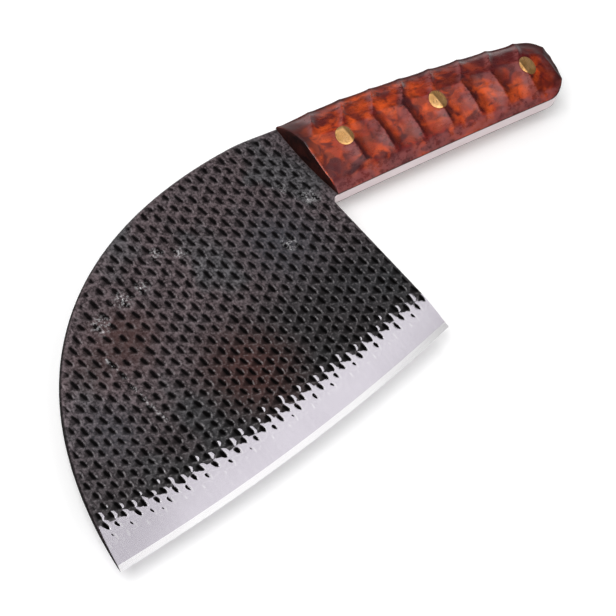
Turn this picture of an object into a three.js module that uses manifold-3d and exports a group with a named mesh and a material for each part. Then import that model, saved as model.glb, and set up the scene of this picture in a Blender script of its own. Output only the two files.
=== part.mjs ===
// Serbian chef knife: a wide forged blade with a full tang, carved wooden scales bedded in epoxy, brass pins.
// It lies flat: +X runs to the tip, +Y to the cutting edge, and +Z is square to the blade. Sizes are in mm.
import * as THREE from 'three';
import { mergeVertices } from 'three/addons/utils/BufferGeometryUtils.js';
import Module from 'manifold-3d';

// Blade outline: x is counted from the heel line, y from the crest of the spine
const stockThickness = 5.5;
const bladeLength = 175;
const tipDepth = 126.4;
const heelDepth = 112.4;
const edgeBulge = 4; // how far the edge swells past its own chord
const crestAhead = 19; // crest of the spine, ahead of the heel line
const crestLead = 7; // flat run of the spine behind its crest
const crestReach = 97; // flat pull of the spine ahead of its crest
const tipReach = 74.5; // pull of the spine along its lean at the tip
const tipLean = 8.7; // degrees
const choilRadius = 3;

// Grind of the edge, the same on both faces
const grindWidth = 16;
const bevelWidth = 2.4;
const shoulderThickness = 1.6; // steel left behind the sharpened bevel
const edgeThickness = 0.2;
const cutterOverrun = 8; // how far the grinding cutters pass the steel

// Handle outline: s runs along the handle's axis from its front, w across it toward the edge side
const frontGap = 0.4; // flat of the tang between the choil and the scales
const frontBow = 1.2; // the scales' front swells toward the blade
const handleAxisDepth = 22; // axis at the handle's front, below the crest of the spine
const handleDroop = 7.4; // degrees
const handleLength = 127.5;
const handleFrontWidth = 39;
const handleBackBend = 38.4; // width that the back's curve is drawn toward in mid-handle
const handleBellyBend = 32.4; // width that the belly's curve is drawn toward in mid-handle
const handleButtWidth = 29.6; // where the rounded butt starts
const buttRound = 14; // length of the rounded butt
const buttBackSwell = 7.5; // extra reach of the butt's corner on the back side

// Scales: heights are counted from the epoxy bed
const bedThickness = 0.2;
const crownHeight = 9.3;
const backWall = 2; // height of the scale's side along the back
const bellyWall = 1; // and along the belly
const backFullness = 2.8; // power of the crown's fall toward the back
const bellyFullness = 1.6; // and toward the belly
const buttRoll = 20; // length over which the crown comes down to the butt

// Carving: two rows of shallow gouges that meet in ridges
const gougeDepth = 1.2;
const gougesPerBay = 3; // gouges from one pin to the next
const backSkew = 0.9; // ridges on the back half lean along the handle
const bellySkew = -0.1;
const backRowAt = -10;
const backRowReach = 14;
const bellyRowAt = 6;
const bellyRowReach = 9.5;

// Pins
const pinDiameter = 8;
const pinClearance = 0.05; // radial, filled with epoxy
const frontPinSetback = 16.3; // from the front of the scales
const rearPinSetback = 17.7; // from the end of the butt

// How finely the curves are divided
const spineSteps = 36;
const edgeSteps = 18;
const bendSteps = 6;
const scaleColumns = 48;
const scaleRows = 12;
const pinSides = 24;

const wasm = await Module();
wasm.setup();

const rad = THREE.MathUtils.degToRad;
const lerp = THREE.MathUtils.lerp;
const clamp = THREE.MathUtils.clamp;
const flat = (x, y) => new THREE.Vector2(x, y);

// Handle frame
const frontX = -choilRadius - frontGap;
const droop = rad(handleDroop);
const handleOrigin = flat(frontX, handleAxisDepth);
const along = flat(-Math.cos(droop), Math.sin(droop));
const across = flat(Math.sin(droop), Math.cos(droop));

function handlePoint(s, w) {
  return handleOrigin.clone().addScaledVector(along, s).addScaledVector(across, w);
}

function handleCoords(point) {
  const offset = point.clone().sub(handleOrigin);
  return { s: offset.dot(along), w: offset.dot(across) };
}

// Curves round the handle, each from the front toward the butt, and the butt from back to belly
const buttStart = handleLength - buttRound;
const frontBack = flat(frontX, handleAxisDepth - handleFrontWidth / 2);
const frontBelly = flat(frontX, handleAxisDepth + handleFrontWidth / 2);
const buttBack = handlePoint(buttStart, -handleButtWidth / 2);
const buttBelly = handlePoint(buttStart, handleButtWidth / 2);
const backBend = handlePoint(buttStart / 2, -handleBackBend / 2);
const bellyBend = handlePoint(buttStart / 2, handleBellyBend / 2);
const buttPull = buttRound * 4 / 3; // a cubic's pull that brings the butt to its full length
const backCurve = new THREE.QuadraticBezierCurve(frontBack, backBend, buttBack);
const bellyCurve = new THREE.QuadraticBezierCurve(frontBelly, bellyBend, buttBelly);
const buttCurve = new THREE.CubicBezierCurve(
  buttBack,
  handlePoint(buttStart + buttPull + buttBackSwell / 2, -handleButtWidth / 2),
  handlePoint(buttStart + buttPull - buttBackSwell / 2, handleButtWidth / 2),
  buttBelly,
);

// Point on the front of the scales, from the back to the belly
function frontPoint(v) {
  const point = frontBack.clone().lerp(frontBelly, v);
  point.x += frontBow * 4 * v * (1 - v);
  return point;
}

// Point inside the handle's outline: u from the front to the butt, v from the back to the belly
function scalePoint(u, v) {
  const point = backCurve.getPoint(u).multiplyScalar(1 - v).addScaledVector(bellyCurve.getPoint(u), v);
  point.addScaledVector(frontPoint(v), 1 - u).addScaledVector(buttCurve.getPoint(v), u);
  point.addScaledVector(frontBack, -(1 - u) * (1 - v)).addScaledVector(frontBelly, -(1 - u) * v);
  return point.addScaledVector(buttBack, -u * (1 - v)).addScaledVector(buttBelly, -u * v);
}

// Pins stand on the handle's axis, the middle one half-way between the others
const pinStations = {
  front_pin: frontPinSetback,
  middle_pin: (frontPinSetback + handleLength - rearPinSetback) / 2,
  rear_pin: handleLength - rearPinSetback,
};
const gougePitch = (pinStations.middle_pin - pinStations.front_pin) / gougesPerBay;

// Depth of one row of gouges: parabolic scallops with a ridge through each pin, fading across the handle
function rowDepth(s, w, skew, rowAt, reach) {
  const phase = (s + skew * w - pinStations.front_pin) / gougePitch;
  const fromMiddle = 2 * (phase - Math.floor(phase)) - 1;
  const fade = Math.max(0, 1 - ((w - rowAt) / reach) ** 2);
  return gougeDepth * (1 - fromMiddle ** 2) * fade;
}

// Height of the carved scale above its bed at a place in plan
function carvedHeight(point) {
  const { s, w } = handleCoords(point);
  const halfWidth = lerp(handleFrontWidth, handleButtWidth, clamp(s / buttStart, 0, 1)) / 2;
  const side = clamp(w / halfWidth, -1, 1);
  const wall = lerp(backWall, bellyWall, (side + 1) / 2);
  const roll = clamp((s - handleLength + buttRoll) / buttRoll, 0, 1) ** 2;
  const power = side < 0 ? backFullness : bellyFullness;
  const crown = (crownHeight - wall) * (1 - Math.abs(side) ** power) * (1 - roll);
  const backDepth = rowDepth(s, w, backSkew, backRowAt, backRowReach);
  const bellyDepth = rowDepth(s, w, bellySkew, bellyRowAt, bellyRowReach);
  return wall + crown - Math.max(backDepth, bellyDepth);
}

// Geometry from a list of points and triangles
function geometryOf(points, triangles) {
  const geometry = new THREE.BufferGeometry();
  geometry.setAttribute('position', new THREE.Float32BufferAttribute(points.flat(), 3));
  geometry.setIndex(triangles.flat());
  return geometry;
}

function toSolid(geometry) {
  const bare = geometry.clone();
  bare.deleteAttribute('normal');
  bare.deleteAttribute('uv');
  const merged = mergeVertices(bare);
  return new wasm.Manifold(new wasm.Mesh({
    numProp: 3,
    vertProperties: new Float32Array(merged.attributes.position.array),
    triVerts: new Uint32Array(merged.index.array),
  }));
}

function fromSolid(solid) {
  const { vertProperties, triVerts } = solid.getMesh();
  const geometry = new THREE.BufferGeometry();
  geometry.setAttribute('position', new THREE.BufferAttribute(vertProperties, 3));
  geometry.setIndex(new THREE.BufferAttribute(triVerts, 1));
  return geometry;
}

// Closed skin over rings of equal length, with each end closed from its ring's last point
function loft(rings) {
  const count = rings[0].length;
  const triangles = [];
  for (let ring = 0; ring + 1 < rings.length; ring += 1) {
    for (let i = 0; i < count; i += 1) {
      const a = ring * count + i;
      const b = ring * count + (i + 1) % count;
      triangles.push([a, b, b + count], [a, b + count, a + count]);
    }
  }
  const last = (rings.length - 1) * count;
  for (let i = 0; i + 2 < count; i += 1) {
    triangles.push([count - 1, i + 1, i], [last + count - 1, last + i, last + i + 1]);
  }
  return geometryOf(rings.flat(), triangles);
}

function plate(outline, thickness, z) {
  const settings = { depth: thickness, bevelEnabled: false };
  return new THREE.ExtrudeGeometry(new THREE.Shape(outline), settings).translate(0, 0, z);
}

// The same solid on the other face of the blade
function turnedOver(geometry) {
  const other = geometry.clone().scale(1, 1, -1);
  const order = other.index.array;
  for (let i = 0; i < order.length; i += 3) {
    [order[i], order[i + 1]] = [order[i + 1], order[i]];
  }
  return other;
}

// Heights of the layers above the blade's middle plane
const tangFace = stockThickness / 2;
const scaleBase = tangFace + bedThickness;
const drillTop = scaleBase + crownHeight + cutterOverrun;

function drill(geometry) {
  let solid = toSolid(geometry);
  const bore = new THREE.CylinderGeometry(
    pinDiameter / 2 + pinClearance, pinDiameter / 2 + pinClearance, 2 * drillTop, pinSides,
  ).rotateX(Math.PI / 2);
  for (const station of Object.values(pinStations)) {
    const place = handlePoint(station, 0);
    solid = solid.subtract(toSolid(bore.clone().translate(place.x, place.y, 0)));
  }
  return fromSolid(solid);
}

// Blade: the forged outline in one piece with its tang, ground to an edge along both faces
const crest = flat(crestAhead, 0);
const tip = flat(bladeLength, tipDepth);
const heel = flat(0, heelDepth);
const edgeCurve = new THREE.QuadraticBezierCurve(
  tip, tip.clone().lerp(heel, 0.5).add(flat(0, 2 * edgeBulge)), heel,
);

function bladeOutline() {
  const lean = flat(Math.sin(rad(tipLean)), Math.cos(rad(tipLean)));
  const spineBack = new THREE.QuadraticBezierCurve(frontBack, flat(crest.x - crestLead, crest.y), crest);
  const spine = new THREE.CubicBezierCurve(
    crest, flat(crest.x + crestReach, crest.y), tip.clone().addScaledVector(lean, -tipReach), tip,
  );
  const choil = new THREE.EllipseCurve(
    -choilRadius, frontBelly.y + choilRadius, choilRadius, choilRadius, 0, -Math.PI / 2, true,
  );
  return [
    ...spineBack.getPoints(bendSteps).slice(1),
    ...spine.getPoints(spineSteps).slice(1),
    ...edgeCurve.getPoints(edgeSteps).slice(1),
    ...choil.getPoints(bendSteps),
    ...bellyCurve.getPoints(scaleColumns).slice(0, -1),
    ...buttCurve.getPoints(scaleRows).reverse().slice(0, -1),
    ...backCurve.getPoints(scaleColumns).reverse(),
  ];
}

// Cutter for one face: the steel above it is ground away along the whole edge
function grindCutter() {
  const slope = (tangFace - shoulderThickness / 2) / (grindWidth - bevelWidth);
  const above = tangFace + cutterOverrun * slope;
  const section = [
    [-cutterOverrun, edgeThickness / 2],
    [0, edgeThickness / 2],
    [bevelWidth, shoulderThickness / 2],
    [grindWidth + cutterOverrun, above],
    [-cutterOverrun, above],
  ];
  const stations = [];
  for (let i = 0; i <= edgeSteps; i += 1) {
    const t = i / edgeSteps;
    stations.push({ place: edgeCurve.getPoint(t), heading: edgeCurve.getTangent(t) });
  }
  const past = ({ place, heading }, run) => ({ place: place.clone().addScaledVector(heading, run), heading });
  const before = past(stations[0], -grindWidth);
  const after = past(stations[edgeSteps], grindWidth);
  return loft([before, ...stations, after].map(({ place, heading }) => {
    const inward = flat(-heading.y, heading.x);
    return section.map(([depth, z]) => [place.x + inward.x * depth, place.y + inward.y * depth, z]);
  }));
}

function bladeGeometry() {
  const blank = plate(bladeOutline(), stockThickness, -tangFace);
  const cutter = grindCutter();
  const ground = toSolid(blank).subtract(toSolid(cutter)).subtract(toSolid(turnedOver(cutter)));
  return drill(fromSolid(ground));
}

// Outline of a scale's foot, from the front round by the belly and the butt to the back
function footLoop() {
  const loop = [];
  for (let row = 0; row < scaleRows; row += 1) loop.push([0, row]);
  for (let column = 0; column < scaleColumns; column += 1) loop.push([column, scaleRows]);
  for (let row = scaleRows; row > 0; row -= 1) loop.push([scaleColumns, row]);
  for (let column = scaleColumns; column > 0; column -= 1) loop.push([column, 0]);
  return loop;
}

const foot = footLoop();
const footPoints = foot.map(([column, row]) => scalePoint(column / scaleColumns, row / scaleRows));

function scaleGeometry() {
  const points = [];
  const triangles = [];
  const index = (column, row) => column * (scaleRows + 1) + row;
  for (let column = 0; column <= scaleColumns; column += 1) {
    for (let row = 0; row <= scaleRows; row += 1) {
      const place = scalePoint(column / scaleColumns, row / scaleRows);
      points.push([place.x, place.y, scaleBase + carvedHeight(place)]);
    }
  }
  for (let column = 0; column < scaleColumns; column += 1) {
    for (let row = 0; row < scaleRows; row += 1) {
      const a = index(column, row);
      const b = index(column, row + 1);
      const c = index(column + 1, row + 1);
      const d = index(column + 1, row);
      triangles.push([a, b, c], [a, c, d]);
    }
  }
  const base = points.length;
  footPoints.forEach((place) => points.push([place.x, place.y, scaleBase]));
  foot.forEach(([column, row], i) => {
    const next = (i + 1) % foot.length;
    const top = index(column, row);
    const nextTop = index(...foot[next]);
    triangles.push([base + i, nextTop, top], [base + i, base + next, nextTop]);
  });
  for (const [a, b, c] of THREE.ShapeUtils.triangulateShape(footPoints, [])) {
    triangles.push([base + a, base + c, base + b]);
  }
  return drill(geometryOf(points, triangles));
}

// Pin: a brass rod ground flush with the carving on both scales
function pinGeometry(station) {
  const centre = handlePoint(station, 0);
  const ring = (radius, sign) => {
    const points = [];
    for (let i = 0; i < pinSides; i += 1) {
      const angle = i / pinSides * 2 * Math.PI;
      const place = flat(centre.x + radius * Math.sin(angle), centre.y + radius * Math.cos(angle));
      points.push([place.x, place.y, sign * (scaleBase + carvedHeight(place))]);
    }
    return points;
  };
  const radius = pinDiameter / 2;
  return loft([ring(radius / 2, 1), ring(radius, 1), ring(radius, -1), ring(radius / 2, -1)]);
}

// Materials
const forgedSteel = new THREE.MeshStandardMaterial({ color: 0x3d3a3c, roughness: 0.55, metalness: 0.8 });
const rosewood = new THREE.MeshStandardMaterial({ color: 0x8a3320, roughness: 0.3, metalness: 0 });
const epoxy = new THREE.MeshStandardMaterial({ color: 0x2a1512, roughness: 0.4, metalness: 0 });
const brass = new THREE.MeshStandardMaterial({ color: 0xc9a15a, roughness: 0.3, metalness: 1 });

const knife = new THREE.Group();

function addPiece(name, geometry, material) {
  geometry.computeVertexNormals();
  const mesh = new THREE.Mesh(geometry, material);
  mesh.name = name;
  knife.add(mesh);
}

const upperScale = scaleGeometry();
const upperBed = drill(plate(footPoints, bedThickness, tangFace));
addPiece('blade', bladeGeometry(), forgedSteel);
addPiece('upper_epoxy_bed', upperBed, epoxy);
addPiece('lower_epoxy_bed', turnedOver(upperBed), epoxy);
addPiece('upper_scale', upperScale, rosewood);
addPiece('lower_scale', turnedOver(upperScale), rosewood);
for (const [name, station] of Object.entries(pinStations)) {
  addPiece(name, pinGeometry(station), brass);
}

// The origin is under the middle of the knife, on the surface that the lower scale rests on
const extent = new THREE.Box3().setFromObject(knife);
const middle = extent.getCenter(new THREE.Vector3());
knife.position.set(-middle.x, -middle.y, -extent.min.z);

export default knife;
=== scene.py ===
import math

import bpy
import numpy as np
from mathutils import Matrix, Vector, kdtree
from mathutils.geometry import delaunay_2d_cdt


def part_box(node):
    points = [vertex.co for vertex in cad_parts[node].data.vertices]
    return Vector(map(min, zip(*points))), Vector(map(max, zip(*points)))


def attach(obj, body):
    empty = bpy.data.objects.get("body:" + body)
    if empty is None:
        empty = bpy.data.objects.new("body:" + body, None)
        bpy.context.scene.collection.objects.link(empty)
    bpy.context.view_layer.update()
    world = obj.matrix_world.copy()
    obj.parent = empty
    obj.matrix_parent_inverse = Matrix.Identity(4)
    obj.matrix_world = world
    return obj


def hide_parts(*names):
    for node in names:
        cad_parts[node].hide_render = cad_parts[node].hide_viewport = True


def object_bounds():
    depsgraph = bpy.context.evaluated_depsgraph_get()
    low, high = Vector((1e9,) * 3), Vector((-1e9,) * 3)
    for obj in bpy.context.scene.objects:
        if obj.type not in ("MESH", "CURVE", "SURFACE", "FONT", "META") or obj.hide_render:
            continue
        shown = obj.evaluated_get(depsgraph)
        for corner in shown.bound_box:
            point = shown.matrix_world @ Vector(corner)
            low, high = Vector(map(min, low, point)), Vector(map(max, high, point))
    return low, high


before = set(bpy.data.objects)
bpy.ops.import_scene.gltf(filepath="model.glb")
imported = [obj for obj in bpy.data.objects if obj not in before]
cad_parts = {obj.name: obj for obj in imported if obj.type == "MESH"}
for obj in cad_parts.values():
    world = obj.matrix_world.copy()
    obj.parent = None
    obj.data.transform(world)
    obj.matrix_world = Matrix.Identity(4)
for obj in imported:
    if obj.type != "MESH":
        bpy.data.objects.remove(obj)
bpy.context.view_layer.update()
print("frame loaded with", len(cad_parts), "CAD nodes")

mm = 0.001

# Plan of the knife in mm, on the same curves as the solids: x from the heel line, y from the spine's crest
planShape = {
    "bladeLength": 175,
    "tipDepth": 126.4,
    "heelDepth": 112.4,
    "edgeBulge": 4,
    "crestAhead": 19,
    "crestLead": 7,
    "crestReach": 97,
    "tipReach": 74.5,
    "tipLean": 8.7,
    "choilRadius": 3,
    "frontGap": 0.4,
    "frontBow": 1.2,
    "axisDepth": 22,
    "droop": 7.4,
    "handleLength": 127.5,
    "frontWidth": 39,
    "backBend": 38.4,
    "bellyBend": 32.4,
    "buttWidth": 29.6,
    "buttRound": 14,
    "buttBackSwell": 7.5,
    "pinSetbacks": (16.3, 17.7),  # from the front and from the butt
}


def bend(handles, count):  # Bezier curve through its handles
    t = np.linspace(0, 1, count + 1)[:, None]
    rows = [np.repeat(np.array([handle], float), count + 1, axis=0) for handle in handles]
    while len(rows) > 1:
        rows = [a * (1 - t) + b * t for a, b in zip(rows, rows[1:])]
    return rows[0]


def smoothStep(low, high, value):
    t = np.clip((value - low) / (high - low), 0, 1)
    return t * t * (3 - 2 * t)


# Handle frame: s along the handle from its front, w across it toward the edge side
frontX = -planShape["choilRadius"] - planShape["frontGap"]
droop = math.radians(planShape["droop"])
along = np.array([-math.cos(droop), math.sin(droop)])
across = np.array([math.sin(droop), math.cos(droop)])
handleOrigin = np.array([frontX, planShape["axisDepth"]])
buttStart = planShape["handleLength"] - planShape["buttRound"]


def handlePoint(s, w):
    return handleOrigin + s * along + w * across


def handleCoords(plan):
    offset = plan - handleOrigin
    return offset @ along, offset @ across


halfButt = planShape["buttWidth"] / 2
buttPull = planShape["buttRound"] * 4 / 3
buttSwell = planShape["buttBackSwell"] / 2
frontBack = handleOrigin - [0, planShape["frontWidth"] / 2]
frontBelly = handleOrigin + [0, planShape["frontWidth"] / 2]
buttBack = handlePoint(buttStart, -halfButt)
buttBelly = handlePoint(buttStart, halfButt)
backHandles = [frontBack, handlePoint(buttStart / 2, -planShape["backBend"] / 2), buttBack]
bellyHandles = [frontBelly, handlePoint(buttStart / 2, planShape["bellyBend"] / 2), buttBelly]
buttHandles = [
    buttBack,
    handlePoint(buttStart + buttPull + buttSwell, -halfButt),
    handlePoint(buttStart + buttPull - buttSwell, halfButt),
    buttBelly,
]
tip = np.array([planShape["bladeLength"], planShape["tipDepth"]], float)
heel = np.array([0, planShape["heelDepth"]], float)
edgeCurve = bend([tip, (tip + heel) / 2 + [0, 2 * planShape["edgeBulge"]], heel], 190)

frontPinAt = planShape["pinSetbacks"][0]
rearPinAt = planShape["handleLength"] - planShape["pinSetbacks"][1]
pinStations = {"front_pin": frontPinAt, "middle_pin": (frontPinAt + rearPinAt) / 2, "rear_pin": rearPinAt}
pinCentres = [handlePoint(s, 0) for s in pinStations.values()]

# Where that plan lies in the frame: the tip, the crest and the middle plane of the CAD blade
bladeLow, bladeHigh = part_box("blade")
planShift = np.array([bladeHigh.x / mm - tip[0], bladeLow.y / mm, (bladeLow.z + bladeHigh.z) / 2 / mm])
tangFace = (bladeHigh.z - bladeLow.z) / 2 / mm
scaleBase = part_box("upper_scale")[0].z / mm - planShift[2]


def inFrame(points):  # plan x, y and height over the middle plane, in mm, to metres in the frame
    return (np.asarray(points, float) + planShift) * mm


# Mesh making
def ringPoints(centre, radius, count):
    angle = np.arange(count) / count * 2 * math.pi
    return centre + radius * np.stack([np.cos(angle), np.sin(angle)], 1)


def loopTurn(loop):  # whether a closed loop runs counter-clockwise
    after = np.roll(loop, -1, axis=0)
    return np.sum(loop[:, 0] * after[:, 1] - loop[:, 1] * after[:, 0]) > 0


def outward(loop):  # unit normals of a closed loop, pointing away from what it encloses
    step = np.roll(loop, -1, axis=0) - np.roll(loop, 1, axis=0)
    step /= np.linalg.norm(step, axis=1)[:, None]
    return (1 if loopTurn(loop) else -1) * np.stack([step[:, 1], -step[:, 0]], 1)


def pinDistance(points):  # to the nearest pin's axis
    return np.min([np.linalg.norm(points - centre, axis=1) for centre in pinCentres], axis=0)


def nearestDistance(points, targets):
    tree = kdtree.KDTree(len(targets))
    for i, target in enumerate(targets):
        tree.insert((target[0], target[1], 0), i)
    tree.balance()
    return np.array([tree.find((x, y, 0))[2] for x, y in points])


def insideLoop(points, loop):
    inside = np.zeros(len(points), bool)
    for a, b in zip(loop, np.roll(loop, -1, axis=0)):
        spans = (a[1] > points[:, 1]) != (b[1] > points[:, 1])
        crossing = a[0] + (points[spans, 1] - a[1]) * (b[0] - a[0]) / (b[1] - a[1] or 1)
        inside[spans] ^= points[spans, 0] < crossing
    return inside


# Triangles over a plan: the loops come first and in order, then the lines, then the inner points
def planSkin(loops, inner=(), lines=(), isHole=None):
    fixed = [np.asarray(run, float) for run in [*loops, *lines]]
    edges = []
    start = 0
    for i, run in enumerate(fixed):
        last = len(run) if i < len(loops) else len(run) - 1
        edges += [(start + k, start + (k + 1) % len(run)) for k in range(last)]
        start += len(run)
    inner = np.asarray(inner, float).reshape(-1, 2)
    points = np.vstack([*fixed, inner])
    result = delaunay_2d_cdt([Vector(p) for p in points], edges, [], 1, 1e-7)
    source = np.array([origin[0] for origin in result[3]])
    triangles = source[np.array(result[2])]
    if isHole is not None:
        triangles = triangles[~isHole(points[triangles].mean(axis=1))]
    corner = points[triangles]
    first, second = corner[:, 1] - corner[:, 0], corner[:, 2] - corner[:, 0]
    turned = first[:, 0] * second[:, 1] < first[:, 1] * second[:, 0]
    triangles[turned] = triangles[turned][:, ::-1]
    return points, triangles


# Closed solid from an upper and a lower skin that share their loops, with rings of points between them
def closedSolid(upper, upperFaces, lower, lowerFaces, loopSizes, rings=()):
    points = [upper]
    faces = [list(face) for face in upperFaces]
    total = len(upper)
    levels = [0]
    for ring in rings:
        points.append(ring)
        levels.append(total)
        total += len(ring)
    points.append(lower)
    faces += [[total + face[0], total + face[2], total + face[1]] for face in lowerFaces]
    levels.append(total)
    owners = []  # loop point that each wall face starts from
    start = 0
    for size, outer in loopSizes:
        turned = loopTurn(upper[start:start + size]) == outer
        for above, below in zip(levels, levels[1:]):
            for i in range(size):
                a, b = start + i, start + (i + 1) % size
                quad = [above + a, below + a, below + b, above + b]
                faces.append(quad if turned else quad[::-1])
                owners.append(a)
        start += size
    return np.vstack(points), faces, np.array(owners)


def makePiece(name, points, faces, material, values=None):
    mesh = bpy.data.meshes.new(name)
    mesh.from_pydata([tuple(p) for p in inFrame(points)], [], [tuple(face) for face in faces])
    for label, data in (values or {}).items():
        mesh.attributes.new(label, "FLOAT", "POINT").data.foreach_set("value", np.asarray(data, np.float32))
    mesh.validate()
    mesh.polygons.foreach_set("use_smooth", [True] * len(mesh.polygons))
    mesh.materials.append(material)
    piece = bpy.data.objects.new(name, mesh)
    bpy.context.scene.collection.objects.link(piece)
    return piece


# Shader helpers
def put(tree, kind, values=None, **settings):
    node = tree.nodes.new(kind)
    for name, value in settings.items():
        setattr(node, name, value)
    for name, value in (values or {}).items():
        if isinstance(value, bpy.types.NodeSocket):
            tree.links.new(value, node.inputs[name])
        else:
            node.inputs[name].default_value = value
    return node


def maths(tree, operation, a, b=0.0, clamp=False):
    return put(tree, "ShaderNodeMath", {0: a, 1: b}, operation=operation, use_clamp=clamp).outputs[0]


def between(tree, value, low, high, start=0.0, end=1.0):
    limits = {"Value": value, "From Min": low, "From Max": high, "To Min": start, "To Max": end}
    return put(tree, "ShaderNodeMapRange", limits, interpolation_type="SMOOTHSTEP").outputs[0]


def mixed(tree, share, a, b, mode="MIX"):
    colours = {0: share, 6: a, 7: b}
    return put(tree, "ShaderNodeMix", colours, data_type="RGBA", blend_type=mode).outputs[2]


def grainNoise(tree, vector, scale, detail=3.0, roughness=0.55, distortion=0.0):
    values = {"Vector": vector, "Scale": scale, "Detail": detail, "Roughness": roughness}
    values["Distortion"] = distortion
    return put(tree, "ShaderNodeTexNoise", values).outputs["Fac"]


def attribute(tree, name):
    return put(tree, "ShaderNodeAttribute", attribute_name=name).outputs["Fac"]


def startMaterial(name):
    material = bpy.data.materials.new(name)
    material.use_nodes = True
    tree = material.node_tree
    tree.nodes.clear()
    shader = put(tree, "ShaderNodeBsdfPrincipled")
    put(tree, "ShaderNodeOutputMaterial", {"Surface": shader.outputs[0]})
    place = put(tree, "ShaderNodeTexCoord").outputs["Object"]
    return material, tree, shader, place


def startGroup(name, inputs, outputs):
    group = bpy.data.node_groups.new(name, "ShaderNodeTree")
    for label, kind in inputs:
        group.interface.new_socket(name=label, in_out="INPUT", socket_type="NodeSocket" + kind)
    for label, kind in outputs:
        group.interface.new_socket(name=label, in_out="OUTPUT", socket_type="NodeSocket" + kind)
    return group, put(group, "NodeGroupInput").outputs, put(group, "NodeGroupOutput").inputs


def useGroup(tree, group, values):
    return put(tree, "ShaderNodeGroup", values, node_tree=group).outputs


# Patches of three tones at one scale, broken up by a finer speckle
def makeMottle():
    inputs = [("Place", "Vector"), ("Patch Scale", "Float"), ("Speckle Scale", "Float")]
    inputs += [("Speckle", "Float"), ("Tone A", "Color"), ("Tone B", "Color"), ("Tone C", "Color")]
    outputs = [("Color", "Color"), ("Patch", "Float"), ("Speckle", "Float")]
    group, given, out = startGroup("Mottle", inputs, outputs)
    patch = grainNoise(group, given["Place"], given["Patch Scale"], 2.0, 0.5, 0.6)
    apart = {0: given["Place"], 1: (0.31, 0.17, 0.23)}
    moved = put(group, "ShaderNodeVectorMath", apart, operation="ADD").outputs[0]
    other = grainNoise(group, moved, given["Patch Scale"], 2.0, 0.5, 0.6)
    fine = grainNoise(group, given["Place"], given["Speckle Scale"], 4.0, 0.65)
    tone = mixed(group, between(group, patch, 0.42, 0.6), given["Tone A"], given["Tone B"])
    tone = mixed(group, between(group, other, 0.5, 0.66), tone, given["Tone C"])
    share = maths(group, "MULTIPLY", between(group, fine, 0.3, 0.7, -1.0, 1.0), given["Speckle"])
    bright = maths(group, "ADD", share, 1.0)
    scaled = put(group, "ShaderNodeVectorMath", {0: tone, "Scale": bright}, operation="SCALE").outputs[0]
    group.links.new(scaled, out["Color"])
    group.links.new(patch, out["Patch"])
    group.links.new(fine, out["Speckle"])
    return group


# Fine straight scratches that run along one direction of the piece
def makeScratches():
    inputs = [("Place", "Vector"), ("Turn", "Vector"), ("Scale", "Float")]
    group, given, out = startGroup("Polishing lines", inputs, [("Lines", "Float"), ("Smudge", "Float")])
    turn = {"Vector": given["Place"], "Rotation": given["Turn"]}
    turned = put(group, "ShaderNodeMapping", turn).outputs[0]
    drawn = put(group, "ShaderNodeMapping", {"Vector": turned, "Scale": (1.0, 0.03, 1.0)}).outputs[0]
    group.links.new(grainNoise(group, drawn, given["Scale"], 3.0, 0.6), out["Lines"])
    group.links.new(grainNoise(group, given["Place"], 35.0, 3.0, 0.5), out["Smudge"])
    return group


mottle = makeMottle()
polishingLines = makeScratches()
print("shader groups ready")


# Blade
blade = {
    "cornerRadius": {"spine": 1.0, "edge": 0.0, "heel": 0.3, "tang": 0.04},
    "cornerSteps": 4,
    "grindWidth": ((0, 140, 175), (16.0, 16.0, 18.6)),  # along the blade
    "bevelWidth": 2.4,
    "grindStart": 0.06,  # slope where the grind rolls off the flat; it steepens toward the edge
    "shoulder": 1.6,
    "edge": 0.2,
    "bandRows": (2.9, 9.5, 0.6),  # first, last and step of the rows of points along the polished band
    "boreRadius": 4.05,
    "boreSides": 48,
    "waviness": 0.035,  # hand-forged unevenness of the flats
    "thinning": ((40.0, 150.0, 175.0), (1.0, 0.63, 0.45)),  # share of the stock left, along the blade
    "ringScaleAndShade": (0.45, 0.75, 0.9, 0.9),  # forge scale and painted shade darken the spine round its corner
}
rasp = {
    "rowPitch": 4.4,
    "wideRows": (9.5, 15.0, 3.9),  # the rows spread here: first and last row, and the extra length
    "toothPitch": 6.2,
    "middle": (57.7, 55.8),  # a tooth near the middle of the blade
    "closing": 0.086,  # teeth stand closer toward the edge
    "rowLean": 0.0155,
    "toothLean": -0.08,
    "toothBow": 0.3,
    "reach": 3.2,  # pit, from its steep wall toward the tip
    "floorLean": 0.21,  # the far end of the pit lies toward the edge
    "halfLength": 2.65,
    "depth": 0.43,
    "shallowing": ((10, 24), (1.0, 0.7)),  # over the rows toward the tip
    "burr": 0.33,
    "wallRun": 0.3,
    "burrRun": 1.6,
    "samples": (-1.9, -1.45, -1.0, -0.62, -0.3, 0.0, 0.4, 0.85, 1.4, 1.95),
    "samplesAlong": 11,
    "rowRange": (-14, 28),
    "toothRange": (-12, 16),
    "firstRowAt": 0.9,  # no teeth nearer the handle than this
    # Plan and radius
    "wornSpots": ((116, 40, 5.5), (77.5, 25, 3.5), (69.5, 30, 3.5), (92, 35, 4), (102, 35.5, 5),
                  (29.5, 49.5, 4), (7, 36, 5), (14.5, 27, 3)),
    "scratch": ((124, 53), (122, 87)),
    # Plan, radius and strength of the heat tints, brown above zero and blue below
    "tints": ((80, 87, 30, 1.0), (112, 50, 22, 0.8), (132, 55, 16, 0.4),
              (32, 47, 28, -0.9), (18, 80, 24, -0.2), (142, 80, 20, -0.6)),
    "rimFade": 1.2,
    "seed": 7,
}
chance = np.random.default_rng(rasp["seed"])
toothChance = chance.random((120, 120, 4))


def rowPlace(rows):
    first, last, extra = rasp["wideRows"]
    return rasp["middle"][0] + rasp["rowPitch"] * rows + extra * smoothStep(first, last, rows)


def toothPlace(teeth):
    return rasp["middle"][1] + rasp["toothPitch"] * teeth - rasp["closing"] * np.maximum(teeth, 0)**2


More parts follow.
